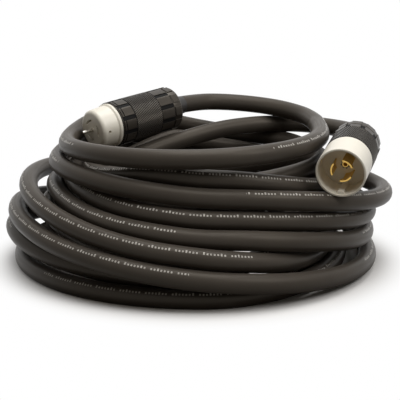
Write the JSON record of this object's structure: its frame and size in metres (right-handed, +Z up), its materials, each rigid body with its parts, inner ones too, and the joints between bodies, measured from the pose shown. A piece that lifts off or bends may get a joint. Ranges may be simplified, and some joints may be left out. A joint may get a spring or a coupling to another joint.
{
  "type": "shore power cord",
  "caption": "Heavy power cord in a loose pile, with a locking connector on one end and a shrouded locking plug on the other.",
  "frame": {"origin": "middle of the pile's bounding box on the floor that it lies on", "axes": "+Z up, -Y towards the front of the pile, where the plug's open face looks, +X to the right"},
  "size_m": [0.5628, 0.5338, 0.237],
  "materials": {
    "beige_insulator": "matte",
    "black_housing": "matte",
    "black_insulator": "matte",
    "black_wire": "gloss",
    "brass_contact": "bright",
    "cord_jacket": "satin",
    "green_wire": "gloss",
    "grommet_rubber": "matte",
    "plated_pin": "bright",
    "red_wire": "gloss",
    "steel_screw": "plated",
    "washer_nylon": "satin",
    "white_nylon": "satin",
    "white_wire": "gloss"
  },
  "bodies": {
    "root": {"cord_coil": "cord_jacket", "connector_lead": "cord_jacket", "plug_lead": "cord_jacket", "connector_cord_end": "cord_jacket", "plug_cord_end": "cord_jacket", "connector_black_wire": "black_wire", "connector_red_wire": "red_wire", "connector_white_wire": "white_wire", "connector_green_wire": "green_wire", "plug_black_wire": "black_wire", "plug_red_wire": "red_wire", "plug_white_wire": "white_wire", "plug_green_wire": "green_wire", "connector_nose": "white_nylon", "ground_pin": "plated_pin", "connector_ground_strap": "brass_contact", "connector_contact_black": "brass_contact", "connector_contact_red": "brass_contact", "connector_contact_white": "brass_contact", "connector_carrier": "black_insulator", "connector_terminal_screws": "steel_screw", "connector_pressure_plates": "brass_contact", "connector_assembly_screws": "steel_screw", "connector_shell": "black_housing", "connector_jaw_left": "black_insulator", "connector_jaw_right": "black_insulator", "connector_clamp_screws": "steel_screw", "connector_slip_washer": "washer_nylon", "connector_grommet": "grommet_rubber", "connector_gland_ring": "black_housing", "plug_shroud": "white_nylon", "plug_base": "beige_insulator", "plug_blade_black": "brass_contact", "plug_blade_red": "brass_contact", "plug_blade_white": "brass_contact", "plug_ground_socket": "brass_contact", "plug_ground_strap": "brass_contact", "plug_terminal_screws": "steel_screw", "plug_pressure_plates": "brass_contact", "plug_assembly_screws": "steel_screw", "plug_shell": "black_housing", "plug_jaw_left": "black_insulator", "plug_jaw_right": "black_insulator", "plug_clamp_screws": "steel_screw", "plug_slip_washer": "washer_nylon", "plug_grommet": "grommet_rubber", "plug_gland_ring": "black_housing"}
  },
  "joints": []
}
